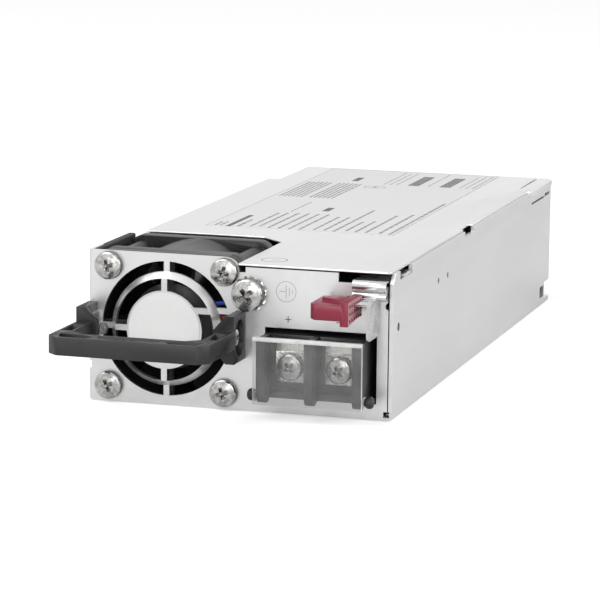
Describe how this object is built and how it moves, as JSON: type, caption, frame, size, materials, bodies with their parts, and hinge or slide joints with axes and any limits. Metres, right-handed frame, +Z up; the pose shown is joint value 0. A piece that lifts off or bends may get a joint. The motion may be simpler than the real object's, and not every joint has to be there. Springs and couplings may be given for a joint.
{
  "type": "power supply module",
  "caption": "Hot-plug power supply module with a sheet-steel case, front fan behind a pressed guard, pull handle, covered screw terminals and a red release tab.",
  "frame": {"origin": "bottom plane at the front plate's outer face, at the middle of the width", "axes": "+X towards the terminal side, +Y from the face to the rear connector, +Z up"},
  "size_m": [0.0838, 0.2265, 0.0404],
  "materials": {
    "case_steel": "bright zinc-plated sheet, satin",
    "screw_steel": "plated steel, polished",
    "spring_steel": "spring steel, satin",
    "black_plastic": "moulded, matt",
    "black_rubber": "matt",
    "red_plastic": "moulded, satin",
    "clear_plastic": "clear, moulded",
    "label_paper": "matt print",
    "contact_brass": "tinned",
    "stator_iron": "varnished",
    "board_green": "solder mask",
    "insulator_film": "clear film",
    "ferrite": "matt",
    "winding_copper": "enamelled copper",
    "capacitor_sleeve": "shrink sleeve",
    "sink_aluminium": "extruded",
    "device_black": "moulded",
    "plug_white": "moulded",
    "lead_red": "insulated wire",
    "lead_blue": "insulated wire"
  },
  "bodies": {
    "case": {"base_chassis": "case_steel", "top_cover": "case_steel", "fan_screws": "screw_steel", "ground_screw": "screw_steel", "ground_star_washer": "screw_steel", "handle_screws": "screw_steel", "terminal_screws": "screw_steel", "terminal_clamp_plates": "screw_steel", "latch_rivets": "screw_steel", "cover_screws": "screw_steel", "board_screws": "screw_steel", "board_standoffs": "screw_steel", "fan_bearings": "screw_steel", "fan_frame": "black_plastic", "handle": "black_plastic", "terminal_block": "black_plastic", "output_connector": "black_plastic", "fan_gasket": "black_plastic", "fan_edge_strip": "black_rubber", "hub_label": "label_paper", "cover_label": "label_paper", "terminal_contacts": "contact_brass", "output_contacts": "contact_brass", "fan_stator": "stator_iron", "main_circuit_board": "board_green", "control_board": "board_green", "insulating_sheet": "insulator_film", "transformer_core": "ferrite", "filter_choke_core": "ferrite", "transformer_winding": "winding_copper", "filter_choke_winding": "winding_copper", "bulk_capacitors": "capacitor_sleeve", "film_capacitors": "capacitor_sleeve", "primary_heat_sink": "sink_aluminium", "secondary_heat_sink": "sink_aluminium", "power_transistors": "device_black", "fan_plug": "plug_white", "fan_header": "plug_white", "fan_lead_red": "lead_red", "fan_lead_blue": "lead_blue"},
    "fan_wheel": {"fan_rotor": "black_plastic", "fan_shaft": "screw_steel"},
    "latch": {"latch_spring": "spring_steel", "release_tab": "red_plastic"},
    "flap": {"terminal_cover": "clear_plastic"}
  },
  "joints": [
    {"name": "fan_spin", "type": "hinge", "parent": "case", "child": "fan_wheel", "pos_m": [-0.01985, 0.004, 0.0204], "axis": [0, 1, 0], "continuous": true},
    {"name": "latch_press", "type": "hinge", "parent": "case", "child": "latch", "pos_m": [0.04005, 0.0587, 0.0293], "axis": [0, 0, 1], "range_deg": [-2.6, 0], "stiffness_Nm_per_rad": 3, "springref_deg": 1.72},
    {"name": "flap_swing", "type": "hinge", "parent": "case", "child": "flap", "pos_m": [0.0216, -0.0064, 0.0059], "axis": [1, 0, 0], "range_deg": [0, 90]}
  ]
}
